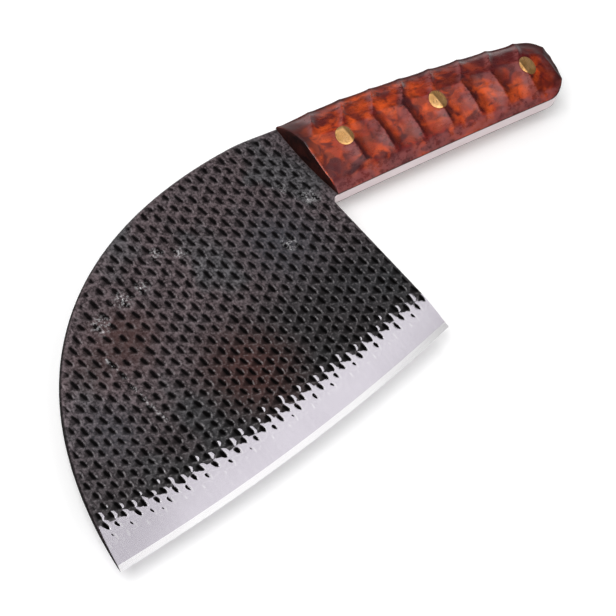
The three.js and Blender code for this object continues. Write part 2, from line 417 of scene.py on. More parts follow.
def latticePlace(rows, teeth):  # tooth counts to plan
    y = toothPlace(teeth)
    return np.stack([rowPlace(rows) + rasp["rowLean"] * (y - rasp["middle"][1]), y], 1)


def latticeCounts(plan):  # plan to tooth counts
    counts = np.arange(-30, 31) * 1.0
    teeth = np.interp(plan[:, 1], toothPlace(counts), counts)
    upright = plan[:, 0] - rasp["rowLean"] * (plan[:, 1] - rasp["middle"][1])
    return np.interp(upright, rowPlace(counts), counts), teeth


# Height of pits and burrs over the flat, soot and painted shade in the pits, worn burr crests with a
# painted highlight, and each tooth's shift
def toothRelief(rows, teeth, fullness):
    relief, sootAndShade, crest = np.zeros((3, len(rows)))
    shift = np.zeros((len(rows), 2))
    for row in (np.floor(rows), np.floor(rows) + 1):
        stagger = np.mod(row, 2) / 2
        tooth = np.round(teeth - stagger)
        luck = toothChance[(row + 60).astype(int) % 120, (tooth + 60).astype(int) % 120]
        size = 0.83 + 0.34 * luck[:, 0]
        ahead = (rows - row) * rasp["rowPitch"]
        side = (teeth - stagger - tooth) * rasp["toothPitch"]
        half = rasp["halfLength"] * size
        lengthwise = side / half
        depth = rasp["depth"] * (0.8 + 0.3 * luck[:, 1]) * np.interp(row, *rasp["shallowing"])
        burr = rasp["burr"] * (0.5 + luck[:, 2]) * (0.85 + 0.3 * np.clip(lengthwise, -1, 1))
        taper = np.clip(1 - ahead / (rasp["reach"] * size * (1 + 0.15 * fullness)), 0.001, 1)
        leaned = side - rasp["floorLean"] * np.maximum(ahead, 0)
        narrow = np.clip(1 - (leaned / (half * taper))**2, 0, 1)
        thick = 1.15 - 0.4 * lengthwise
        blot = np.clip(1 - ((np.maximum(ahead, 0) - 0.3) / thick)**2 - np.abs(lengthwise)**2.5, 0, 1)
        pit = depth * np.maximum(blot, 0.4 * taper * narrow)
        behind = -ahead - rasp["wallRun"]
        bulge = np.clip(1 - (np.maximum(behind, 0) / rasp["burrRun"])**2 - (lengthwise / 1.15)**2, 0, 1)
        mound = burr * bulge**0.45
        climb = smoothStep(0, rasp["wallRun"], -ahead)
        relief += np.where(ahead >= 0, -pit, np.where(behind < 0, mound * climb - pit * (1 - climb), mound))
        # painted shade: a soft dark fade over the pit floor, added to the soot at the wall
        fill = (0.86 + 0.1 * fullness) * narrow**0.4 * taper**0.5 * (ahead >= 0)
        core = np.clip(blot * 1.6, 0, 1) * (0.95 + 0.05 * fullness)
        sootAndShade += np.maximum(core * (1 - climb), fill)
        # burr crests and pit outlines: worn bare steel, partly a painted highlight
        rounding = np.clip(1 - (lengthwise / 1.15)**2, 0, 1)**0.3
        rounding *= smoothStep(-0.3, 0.5, lengthwise + 0.5 * fullness)
        crest += rounding * np.exp(-((ahead + 0.5) / 0.33)**2)
        outline = np.exp(-((np.abs(leaned) - half * taper - 0.35) / 0.3)**2)
        crest += 0.4 * outline * (ahead > 0.3) * (ahead < rasp["reach"])
        near = np.clip(1 - (ahead / 2.2)**2, 0, 1) * np.clip(1 - (side / 3.1)**2, 0, 1)
        drift = (np.stack([luck[:, 3], luck[:, 0]], 1) - 0.5) * [0.9, 1.3]
        drift[:, 0] += (rasp["toothLean"] + 0.24 * (luck[:, 2] - 0.5)) * side
        drift[:, 0] -= rasp["toothBow"] * np.clip(1 - lengthwise**2, 0, 1)
        shift += near[:, None] * drift
    return relief, sootAndShade, crest, shift


def waves(plan, amount, lengths, seed):  # gentle unevenness from a few crossing waves
    rng = np.random.default_rng(seed)
    height = np.zeros(len(plan))
    for length in lengths:
        angle = rng.random() * math.pi
        run = plan @ [math.cos(angle), math.sin(angle)]
        height += np.sin(run * 2 * math.pi / length + rng.random() * 6.3)
    return amount * height / math.sqrt(len(lengths))


edgeRun = edgeCurve[::-1]
edgeSlope = np.gradient(edgeRun[:, 1], edgeRun[:, 0])


def edgeDepth(plan):  # distance in from the cutting edge
    y = np.interp(plan[:, 0], edgeRun[:, 0], edgeRun[:, 1])
    return (y - plan[:, 1]) * np.cos(np.arctan(np.interp(plan[:, 0], edgeRun[:, 0], edgeSlope)))


def bladeRuns():
    lean = math.radians(planShape["tipLean"])
    crest = np.array([planShape["crestAhead"], 0.0])
    pull = tip - planShape["tipReach"] * np.array([math.sin(lean), math.cos(lean)])
    radius = planShape["choilRadius"]
    angle = np.linspace(0, -math.pi / 2, 13)
    choil = np.stack([np.cos(angle) - 1, np.sin(angle) + 1], 1) * radius + [0, frontBelly[1]]
    heelLine = np.linspace(heel, choil[0], 110)
    return [
        ("spine", bend([frontBack, crest - [planShape["crestLead"], 0], crest], 24)),
        ("spine", bend([crest, crest + [planShape["crestReach"], 0], pull, tip], 260)),
        ("edge", edgeCurve),
        ("heel", heelLine),
        ("heel", choil),
        ("tang", bend(bellyHandles, 110)),
        ("tang", bend(buttHandles, 50)[::-1]),
        ("tang", bend(backHandles, 110)[::-1]),
    ]


def bladeOutline():
    runs = bladeRuns()
    loop = []
    kinds = []
    for i, (kind, run) in enumerate(runs):
        following = runs[(i + 1) % len(runs)][1]
        part = run[:-1] if np.allclose(run[-1], following[0]) else run
        loop.append(part)
        kinds += [kind] * len(part)
    radius = np.array([blade["cornerRadius"][kind] for kind in kinds])
    smooth = sum(np.roll(radius, k) for k in range(-6, 7)) / 13
    return np.vstack(loop), np.minimum(radius, smooth), kinds


# Height of the upper face over the middle plane, with how far the grind has cut and the relief that it cut
def faceHeight(plan, relief):
    depth = edgeDepth(plan)
    bevel = blade["bevelWidth"]
    reach = np.interp(plan[:, 0], *blade["grindWidth"])
    width = reach - bevel
    below = reach - depth
    left = np.interp(plan[:, 0], *blade["thinning"])
    flat = tangFace * left
    shoulder = blade["shoulder"] * np.maximum(left, 0.6)
    slope = np.minimum(blade["grindStart"], (flat - shoulder / 2) / width)
    bow = ((flat - shoulder / 2) / width - slope) / width
    polishAndSheen = flat - slope * below - bow * np.maximum(below, 0)**2
    honed = (blade["edge"] + (shoulder - blade["edge"]) * depth / bevel) / 2
    ground = np.where(depth < bevel, honed, polishAndSheen)
    forged = flat + relief
    return np.minimum(forged, ground), forged - ground


def wearAt(plan):  # spots and one scratch where the crust has rubbed off
    wear = np.zeros(len(plan))
    for x, y, radius in rasp["wornSpots"]:
        wear = np.maximum(wear, 1 - np.hypot(plan[:, 0] - x, plan[:, 1] - y) / radius)
    start, end = np.array(rasp["scratch"])
    run = end - start
    share = np.clip((plan - start) @ run / (run @ run), 0, 1)
    gap = np.linalg.norm(plan - start - share[:, None] * run, axis=1)
    return np.maximum(wear, 1 - gap / 0.9).clip(0, 1)


def tintAt(plan):
    tint = np.zeros(len(plan))
    for x, y, radius, strength in rasp["tints"]:
        tint += strength * smoothStep(radius, 0, np.hypot(plan[:, 0] - x, plan[:, 1] - y))
    return tint


def surfaceAt(plan, counts, rimDistance):
    # painted shade: the flats darken toward the heel and toward the edge
    dark = smoothStep(30, 100, plan[:, 1]) * smoothStep(135, 10, plan[:, 0])
    dark += 0.65 * smoothStep(50, 105, plan[:, 1])
    dark += 0.4 * smoothStep(26, 17, edgeDepth(plan))
    dark = dark.clip(0, 1)
    relief, sootAndShade, crest, shift = toothRelief(*counts, dark)
    bare = smoothStep(rasp["firstRowAt"] - 1.2, rasp["firstRowAt"] + 0.4, plan[:, 0])
    fade = smoothStep(0, rasp["rimFade"], rimDistance) * 0.8 + 0.2
    onFlat = plan[:, 0] > frontX + 1
    uneven = waves(plan, blade["waviness"], (7, 9, 11, 15, 19, 26), 3) * onFlat * fade
    marks = {
        "relief": relief * bare * fade + uneven,
        "sootAndShade": sootAndShade.clip(0, 1) * bare * fade,
        "crest": crest.clip(0, 1) * bare * fade,
        "paintedHeelShade": dark,
        "wear": wearAt(plan),
        "tint": tintAt(plan),
    }
    return marks, shift * bare[:, None] * fade[:, None]


def toothGrid():  # teeth are sampled on their own lattice, so each steep wall has its own row of points
    steps = np.array(rasp["samples"]) / rasp["rowPitch"]
    rowSteps = np.concatenate([row + steps for row in range(*rasp["rowRange"])])
    count = rasp["samplesAlong"]
    toothSteps = np.arange(rasp["toothRange"][0] * count, rasp["toothRange"][1] * count) / count
    rows, teeth = [grid.ravel() for grid in np.meshgrid(rowSteps, toothSteps)]
    plan = latticePlace(rows, teeth)
    keep = (plan[:, 0] > frontX - 1) & (plan[:, 0] < tip[0])
    keep &= edgeDepth(plan) > blade["bandRows"][1]
    return plan[keep], rows[keep], teeth[keep]


def alongEdge(depth, count):  # points at one distance in from the cutting edge
    x = np.linspace(0.7, tip[0] - 1.0, count)
    drop = depth / np.cos(np.arctan(np.interp(x, edgeRun[:, 0], edgeSlope)))
    return np.stack([x, np.interp(x, edgeRun[:, 0], edgeRun[:, 1]) - drop], 1)


def inBore(middle):
    return pinDistance(middle) < blade["boreRadius"] - 0.01


def makeBlade(materials):
    loop, radius, kinds = bladeOutline()
    radius = np.minimum(radius, 0.5 * faceHeight(loop, 0.0)[0])
    normal = outward(loop)
    inset = loop - normal * radius[:, None]
    bores = [ringPoints(centre, blade["boreRadius"], blade["boreSides"]) for centre in pinCentres]
    bevelLine = alongEdge(blade["bevelWidth"], 190)
    band = np.vstack([alongEdge(depth, 190) for depth in np.arange(*blade["bandRows"])])
    band = band[(nearestDistance(band, inset) > 0.3) & insideLoop(band, inset)]

    plan, rows, teeth = toothGrid()
    rim = nearestDistance(plan, inset)
    clear = (rim > 0.25) & insideLoop(plan, inset)
    plan, rows, teeth, rim = plan[clear], rows[clear], teeth[clear], rim[clear]
    toothMarks, shift = surfaceAt(plan, (rows, teeth), rim)

    loops = [inset, *bores]
    points, faces = planSkin(loops, np.vstack([plan + shift, band]), [bevelLine], inBore)
    fixed = points[:len(points) - len(plan) - len(band)]
    bandMarks, _ = surfaceAt(band, latticeCounts(band), np.zeros(len(band)))
    fixedMarks, _ = surfaceAt(fixed, latticeCounts(fixed), np.zeros(len(fixed)))
    marks = {}
    for label, mark in toothMarks.items():
        marks[label] = np.concatenate([fixedMarks[label], mark, bandMarks[label]])
    height, marks["ground"] = faceHeight(points, marks["relief"])
    upper = np.column_stack([points, height])

    rimCount = len(inset)
    boreCount = sum(len(bore) for bore in bores)
    rings = []
    for step in range(1, blade["cornerSteps"] + 1):
        turn = step / blade["cornerSteps"] * math.pi / 2
        ring = inset + normal * (radius * math.sin(turn))[:, None]
        drop = height[:rimCount] * (1 - 0.06 * step) - radius * (1 - math.cos(turn))
        sleeve = height[rimCount:rimCount + boreCount] * (1 - 0.2 * step)
        rings.append(np.column_stack([np.vstack([ring, *bores]), np.concatenate([drop, sleeve])]))
    rings += [ring * [1, 1, -1] for ring in rings[::-1]]
    sizes = [(rimCount, True), *[(len(bore), False) for bore in bores]]
    verts, polygons, owners = closedSolid(upper, faces, upper * [1, 1, -1], faces, sizes, rings)

    darkening = np.repeat([*blade["ringScaleAndShade"], *blade["ringScaleAndShade"][::-1]], rimCount + boreCount)
    onRings = {label: np.zeros(len(darkening)) for label in marks}
    onRings["ground"] -= 20.0
    onRings["sootAndShade"] += darkening
    values = {label: np.concatenate([mark, onRings[label], mark]) for label, mark in marks.items()}
    piece = makePiece("forged_blade", verts, polygons, materials["forged"], values)
    piece.data.materials.append(materials["honed"])
    piece.data.materials.append(materials["tang"])
    honedFaces = edgeDepth(points[faces].mean(axis=1)) < blade["bevelWidth"]
    slotOf = {"spine": 0, "edge": 1, "heel": 2, "tang": 2}
    wallSlots = np.array([slotOf[kind] for kind in kinds] + [2] * boreCount)
    slots = np.concatenate([honedFaces, honedFaces, wallSlots[owners]])
    piece.data.polygons.foreach_set("material_index", slots.astype(np.int32))
    onBevel = np.zeros(len(verts), bool)
    onBevel[rimCount + boreCount:len(fixed)] = True
    onBevel[len(verts) - len(points):] = onBevel[:len(points)]
    onEdge = np.zeros(len(verts), bool)
    onEdge[:rimCount] = np.array(kinds) == "edge"
    onEdge[len(verts) - len(points):] = onEdge[:len(points)]
    piece.data.set_sharp_from_angle(angle=math.radians(24))
    for edge in piece.data.edges:
        a, b = edge.vertices
        if onBevel[a] and onBevel[b] or onEdge[a] and onEdge[b]:
            edge.use_edge_sharp = True
    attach(piece, "root")
    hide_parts("blade")
    print("blade:", len(verts), "points,", len(polygons), "faces")


# Carved scales
scale = {
    "crown": 9.55,
    "crest": -0.25,  # the scale is highest here, in half widths across the handle
    "backWall": ((0, 12, 30, 95, 127.5), (0.6, 2.7, 4.6, 4.6, 2.6)),  # height of the side along the back
    "bellyWall": 0.15,
    "fullness": (2.3, 1.7),
    "buttRoll": 20,
    # Two rows of gouges: bottom and sheenLand are shares of the way from one ridge to the next, sheenLand
    # is where the painted sheen begins, and the lead stretches the gouge before the first ridge
    "backRow": {"skew": 0.65, "ridge": 15.2, "pitch": 14.95, "middle": -11.0, "reach": 9.0, "depth": 1.2,
                "bottom": 0.42, "rise": 4.0, "sheenLand": 0.78, "lead": 1.0},
    "bellyRow": {"skew": -0.19, "ridge": 17.6, "pitch": 14.9, "middle": 3.8, "reach": 9.2, "depth": 1.85,
                 "bottom": 0.5, "rise": 1.3, "sheenLand": 0.66, "lead": 1.45},
    "waviness": 0.1,  # unevenness that the knife left
    "bellyEase": 0.15,  # the wood stops this far short of the tang along the belly
    "unevenGouges": 0.5,
    "seed": 11,
    "cornerRadius": ((0, 95, 118), (0.9, 0.9, 1.8)),  # along the handle
    "backRim": 3.3,
    "buttRim": 14,
    "frontRim": 8,
    "cornerSteps": 4,
    "steps": (210, 64),
    "holeSides": 56,
    "holeSink": 0.14,  # the wood is eased round each pin
}
gougeChance = np.random.default_rng(scale["seed"]).random((2, 40))


def rowDepth(s, w, row, luck):
    phase = (s + row["skew"] * w - row["ridge"]) / row["pitch"]
    phase = np.where(phase < 0, phase / row["lead"], phase)
    passed = phase - np.floor(phase)
    bottom = row["bottom"]
    falling = 1 - np.clip(1 - passed / bottom, 0, 1)**2.8
    rising = 1 - np.clip((passed - bottom) / (1 - bottom), 0, 1)**row["rise"]
    share = np.minimum(falling, rising)
    fade = np.clip(1 - np.abs((w - row["middle"]) / row["reach"])**3, 0, 1)
    lot = luck[(np.floor(phase) + 20).astype(int) % len(luck)]
    uneven = 1 + scale["unevenGouges"] * (lot - 0.5)
    # painted shade: darkest just past each ridge, on the flank that faces away from the light
    hollowShade = fade * smoothStep(0.9 * bottom, 0.06, passed) * (0.6 + 0.4 * lot)
    # painted sheen: a lighter tone on the rising flank just before each ridge, standing in for reflected
    # light
    sheenLand = fade * smoothStep(row["sheenLand"], row["sheenLand"] + 0.15, passed)
    return row["depth"] * share * fade * uneven, hollowShade, sheenLand


backRun = np.stack(handleCoords(bend(backHandles, 60)), 1)
bellyRun = np.stack(handleCoords(bend(bellyHandles, 60)), 1)


def carvedHeight(plan):
    s, w = handleCoords(plan)
    half = np.where(w < 0, -np.interp(s, *backRun.T), np.interp(s, *bellyRun.T))
    side = np.clip(w / half, -1, 1)
    wall = scale["bellyWall"] + (np.interp(s, *scale["backWall"]) - scale["bellyWall"]) * (1 - side) / 2
    roll = np.clip((s - planShape["handleLength"] + scale["buttRoll"]) / scale["buttRoll"], 0, 1)**2
    fromCrest = side - scale["crest"]
    fromCrest /= np.where(fromCrest < 0, 1 + scale["crest"], 1 - scale["crest"])
    power = np.where(fromCrest < 0, *scale["fullness"])
    crown = (scale["crown"] - wall) * (1 - np.abs(fromCrest)**power) * (1 - roll)
    onBack, backHollowShade, backSheenMask = rowDepth(s, w, scale["backRow"], gougeChance[0])
    onBelly, bellyHollowShade, bellySheenMask = rowDepth(s, w, scale["bellyRow"], gougeChance[1])
    carved = np.maximum(onBack, onBelly)
    # painted sheen mask of whichever row is cut deeper
    polishAndSheen = np.where(onBelly > onBack, bellySheenMask, backSheenMask)
    # painted shade: the rear of the back edge, the front corners and the butt end are darkened
    buttEnd = 0.3 * smoothStep(106, 120, s)
    rearBack = 0.85 * smoothStep(48, 104, s) * smoothStep(2, -7, w)
    corners = np.maximum(smoothStep(-7, -13, w), smoothStep(5, 11, w))
    frontCorners = 0.85 * smoothStep(24, 6, s) * corners
    marks = {
        "gouge": carved,
        "paintedEdgeShade": np.max([rearBack, frontCorners, buttEnd], axis=0),  # painted shade: darker along the rear of the back edge, at the front corners and at the butt end
        # painted shade past the ridges, mostly on the belly row
        "hollowShade": np.where(onBelly > onBack, bellyHollowShade, 0.4 * backHollowShade),
        # painted sheen: ridge lands and the band along the belly edge
        "paintedSheen": np.maximum(polishAndSheen, smoothStep(half - 4.6, half - 3, w)),
    }
    return wall + crown - carved, marks


def bendAt(handles, t):
    rows = [np.repeat(np.array([handle], float), len(t), axis=0) for handle in handles]
    while len(rows) > 1:
        rows = [a * (1 - t[:, None]) + b * t[:, None] for a, b in zip(rows, rows[1:])]
    return rows[0]


def frontAt(v):
    line = frontBack + (frontBelly - frontBack) * v[:, None]
    return line + np.stack([planShape["frontBow"] * 4 * v * (1 - v), np.zeros(len(v))], 1)


def scalePoint(u, v):  # plan inside the handle: u from the front to the butt, v from the back to the belly
    a, b = u[:, None], v[:, None]
    rails = bendAt(backHandles, u) * (1 - b) + bendAt(bellyHandles, u) * b
    ends = frontAt(v) * (1 - a) + bendAt(buttHandles, v) * a
    corners = (frontBack * (1 - b) + frontBelly * b) * (1 - a) + (buttBack * (1 - b) + buttBelly * b) * a
    return rails + ends - corners


def scaleLoop():
    columns, rows = scale["steps"]
    v = np.arange(rows) / rows
    u = np.arange(columns) / columns
    around = [frontAt(v), bendAt(bellyHandles, u), bendAt(buttHandles, 1 - v), bendAt(backHandles, 1 - u)]
    return np.vstack(around)


def scaleSolid():
    loop = scaleLoop()
    normal = outward(loop)
    frontCorners = (frontBack, frontBelly)
    fromCorner = np.min([np.linalg.norm(loop - corner, axis=1) for corner in frontCorners], axis=0)
    radius = np.interp(handleCoords(loop)[0], *scale["cornerRadius"])
    radius = np.minimum(radius, 0.15 + 0.6 * fromCorner)
    radius = np.minimum(radius, 0.6 * carvedHeight(loop)[0])
    inset = loop - radius[:, None] * normal
    bore = blade["boreRadius"]
    holes = [ringPoints(centre, bore, scale["holeSides"]) for centre in pinCentres]
    columns, rows = scale["steps"]
    acrossSteps, alongSteps = np.arange(1, rows) / rows, np.arange(1, columns) / columns
    u, v = [grid.ravel() for grid in np.meshgrid(alongSteps, acrossSteps)]
    inner = scalePoint(u, v)
    keep = (pinDistance(inner) > bore + 0.45) & (nearestDistance(inner, inset) > 0.3)
    easing = [ringPoints(centre, bore + 0.25, scale["holeSides"]) for centre in pinCentres]
    inner = np.vstack([inner[keep], *easing])
    points, faces = planSkin([inset, *holes], inner, (), inBore)
    height, marks = carvedHeight(points)
    calm = smoothStep(bore, bore + 3, pinDistance(points))
    calm *= smoothStep(0, 4, nearestDistance(points, inset))
    height += waves(points, scale["waviness"], (5.5, 6.5, 7.5, 9, 11), 5) * calm
    rimCount = len(inset)
    holeCount = sum(len(hole) for hole in holes)
    height[rimCount:rimCount + holeCount] -= scale["holeSink"]
    upper = np.column_stack([points, scaleBase + height])
    base, baseFaces = planSkin([loop, *holes], (), (), inBore)
    lower = np.column_stack([base, np.full(len(base), scaleBase)])
    rings = []
    for step in range(1, scale["cornerSteps"] + 1):
        turn = step / scale["cornerSteps"] * math.pi / 2
        ring = inset + (radius * math.sin(turn))[:, None] * normal
        drop = height[:rimCount] - radius * (1 - math.cos(turn))
        sleeve = height[rimCount:rimCount + holeCount] * (1 - 0.2 * step)
        heights = scaleBase + np.concatenate([drop, sleeve])
        rings.append(np.column_stack([np.vstack([ring, *holes]), heights]))
    sizes = [(rimCount, True), *[(len(hole), False) for hole in holes]]
    verts, polygons, _ = closedSolid(upper, faces, lower, baseFaces, sizes, rings)
    s, w = handleCoords(verts[:, :2])
    verts[:, :2] -= np.outer(scale["bellyEase"] * smoothStep(8, 15, w), across)
    # painted shade: rim marks a darker band along the back edge, round the butt and at the front of the
    # back side
    fromBack = w - np.interp(s, *backRun.T)
    rim = smoothStep(scale["backRim"], 0.3, fromBack)
    rim = np.maximum(rim, smoothStep(scale["buttRim"], 1, planShape["handleLength"] - s))
    fromEdge = nearestDistance(verts[:, :2], loop)
    rim = np.maximum(rim, smoothStep(9, 1, fromEdge) * smoothStep(104, 117, s) * smoothStep(12, 8, w))
    rim = np.maximum(rim, 0.85 * smoothStep(scale["frontRim"], 0.5, s) * smoothStep(2, -8, w))
    below = np.zeros(len(verts) - len(points))
    values = {label: np.concatenate([mark, below]) for label, mark in marks.items()} | {"rim": rim}
    slots = np.zeros(len(polygons), np.int32)
    # the outer walls past the first ring take the dark finish, partly painted shade
    dark = np.repeat([0, 0] + [1] * (scale["cornerSteps"] - 1), rimCount)
    onBelly = slice(rows, rows + columns)
    dark.reshape(-1, rimCount)[:, onBelly] = 0
    slots[len(faces) + len(baseFaces):][:len(dark)] = dark
    lastRidge = scale["bellyRow"]["ridge"] + 6 * scale["bellyRow"]["pitch"]
    s, w = handleCoords(points[faces].mean(axis=1))
    skew = np.where(w < 0, scale["backRow"]["skew"], scale["bellyRow"]["skew"])
    slots[:len(faces)][s + skew * w > lastRidge] = 2
    return verts, polygons, values, slots


def makeScales(materials):
    verts, polygons, values, slots = scaleSolid()
    pair = (("carved_upper_scale", "upper_scale", 1), ("carved_lower_scale", "lower_scale", -1))
    for name, node, side in pair:
        faces = [face[::side] for face in polygons]
        piece = makePiece(name, verts * [1, 1, side], faces, materials["face"], values)
        piece.data.materials.append(materials["wall"])
        piece.data.materials.append(materials["butt"])
        piece.data.polygons.foreach_set("material_index", slots)
        piece.data.set_sharp_from_angle(angle=math.radians(50))
        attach(piece, "root")
        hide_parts(node)
    print("scales:", len(verts), "points each")


# Brass pins, ground flush with the carving
pin = {"radius": 4.0, "sides": 56, "grid": 0.5, "proud": 0.05, "rimEase": 0.1}


def makePins(material):
    for node, station in pinStations.items():
        centre = handlePoint(station, 0)
        rim = ringPoints(centre, pin["radius"], pin["sides"])
        steps = np.arange(-pin["radius"], pin["radius"] + 0.01, pin["grid"])
        w, s = [grid.ravel() for grid in np.meshgrid(steps, steps)]
        lean = -scale["bellyRow"]["skew"] * w
        inside = np.hypot(w, s + lean) < pin["radius"] - 0.35
        inner = centre + np.outer((s + lean)[inside], along) + np.outer(w[inside], across)
        points, faces = planSkin([rim], inner)
        height = carvedHeight(points)[0] + pin["proud"]
        height[:len(rim)] -= pin["rimEase"]
        upper = np.column_stack([points, scaleBase + height])
        verts, polygons, _ = closedSolid(upper, faces, upper * [1, 1, -1], faces, [(len(rim), True)])
        piece = makePiece("brass_" + node, verts, polygons, material)
        piece.data.set_sharp_from_angle(angle=math.radians(40))
        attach(piece, "root")
        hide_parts(node)
    print("pins:", len(pinStations))


# Finishes
def forgedFinish():
    material, tree, shader, place = startMaterial("Forge scale and ground steel")
    facing = put(tree, "ShaderNodeNewGeometry").outputs["Normal"]
    level = maths(tree, "ABSOLUTE", put(tree, "ShaderNodeSeparateXYZ", {0: facing}).outputs["Z"])
    cut = between(tree, attribute(tree, "ground"), -0.01, 0.03)
    ground = maths(tree, "MULTIPLY", cut, between(tree, level, 0.9, 0.97))
    sootAndShade = attribute(tree, "sootAndShade")
    scaleTone = useGroup(tree, mottle, {
        "Place": place, "Patch Scale": 32.0, "Speckle Scale": 800.0, "Speckle": 0.7,
        "Tone A": (0.131, 0.106, 0.115, 1), "Tone B": (0.130, 0.099, 0.106, 1),
        "Tone C": (0.113, 0.107, 0.114, 1)})
    # painted shade toward the heel and the edge
    paintedHeelShade = between(tree, attribute(tree, "paintedHeelShade"), 0.0, 1.0, 0.0, 0.83)
    oxide = mixed(tree, paintedHeelShade, scaleTone["Color"], (0.034, 0.034, 0.035, 1))
    tint = attribute(tree, "tint")
    oxide = mixed(tree, maths(tree, "MULTIPLY", tint, 0.95, True), oxide, (0.090, 0.040, 0.036, 1))
    oxide = mixed(tree, maths(tree, "MULTIPLY", tint, -0.7, True), oxide, (0.066, 0.074, 0.088, 1))
    # painted highlight: worn burr crests lighten, more toward the heel
    patchy = between(tree, scaleTone["Speckle"], 0.42, 0.62)
    dullness = between(tree, attribute(tree, "paintedHeelShade"), 0.0, 1.0, 0.42, 0.78)
    shine = maths(tree, "MULTIPLY", patchy, dullness)
    bright = maths(tree, "MULTIPLY", attribute(tree, "crest"), shine)
    oxide = mixed(tree, bright, oxide, (0.46, 0.44, 0.45, 1))
    # soot and painted shade in the pits and round the spine go near black
    oxide = mixed(tree, sootAndShade, oxide, (0.006, 0.0055, 0.0055, 1))
    flecks = between(tree, grainNoise(tree, place, 900.0, 2.0, 0.6), 0.5, 0.62)
    wearAndSheen = maths(tree, "MULTIPLY", attribute(tree, "wear"), flecks, True)
    oxide = mixed(tree, wearAndSheen, oxide, (0.62, 0.61, 0.62, 1))
    lines = useGroup(tree, polishingLines, {"Place": place, "Turn": (0.0, 0.0, 0.1), "Scale": 900.0})
    smudge = between(tree, lines["Smudge"], 0.35, 0.65)
    steel = mixed(tree, smudge, (0.69, 0.65, 0.72, 1), (0.735, 0.695, 0.765, 1))
    # worn crests in the ground band lighten, partly a painted highlight
    wearAndHighlight = maths(tree, "MULTIPLY", attribute(tree, "crest"), 0.8, True)
    steel = mixed(tree, wearAndHighlight, steel, (0.88, 0.86, 0.89, 1))
    tree.links.new(mixed(tree, ground, oxide, steel), shader.inputs["Base Color"])
    rough = maths(tree, "MAXIMUM", between(tree, scaleTone["Speckle"], 0.3, 0.7, 0.38, 0.6), sootAndShade)
    polish = between(tree, lines["Lines"], 0.3, 0.7, 0.25, 0.27)
    roughness = put(tree, "ShaderNodeMix", {0: ground, 2: rough, 3: polish}, data_type="FLOAT").outputs[0]
    tree.links.new(roughness, shader.inputs["Roughness"])
    metal = between(tree, maths(tree, "MAXIMUM", ground, sootAndShade), 0.0, 1.0, 0.75, 1.0)
    tree.links.new(metal, shader.inputs["Metallic"])
    shader.inputs["Specular IOR Level"].default_value = 0.3
    grit = grainNoise(tree, place, 700.0, 5.0, 0.6)
    crust = maths(tree, "MULTIPLY", grit, maths(tree, "SUBTRACT", 1.0, ground))
    bump = put(tree, "ShaderNodeBump", {"Strength": 0.35, "Distance": 0.0004, "Height": crust})
    tree.links.new(bump.outputs[0], shader.inputs["Normal"])
    return material


def plainSteel(name, low, high, roughness, turn):
    material, tree, shader, place = startMaterial(name)
    lines = useGroup(tree, polishingLines, {"Place": place, "Turn": turn, "Scale": 1100.0})
    smudge = between(tree, lines["Smudge"], 0.35, 0.65)
    tree.links.new(mixed(tree, smudge, low, high), shader.inputs["Base Color"])
    tree.links.new(between(tree, lines["Lines"], 0.3, 0.7, *roughness), shader.inputs["Roughness"])
    shader.inputs["Metallic"].default_value = 1.0
    bump = put(tree, "ShaderNodeBump", {"Strength": 0.08, "Distance": 0.0001, "Height": lines["Lines"]})
    tree.links.new(bump.outputs[0], shader.inputs["Normal"])
    return material


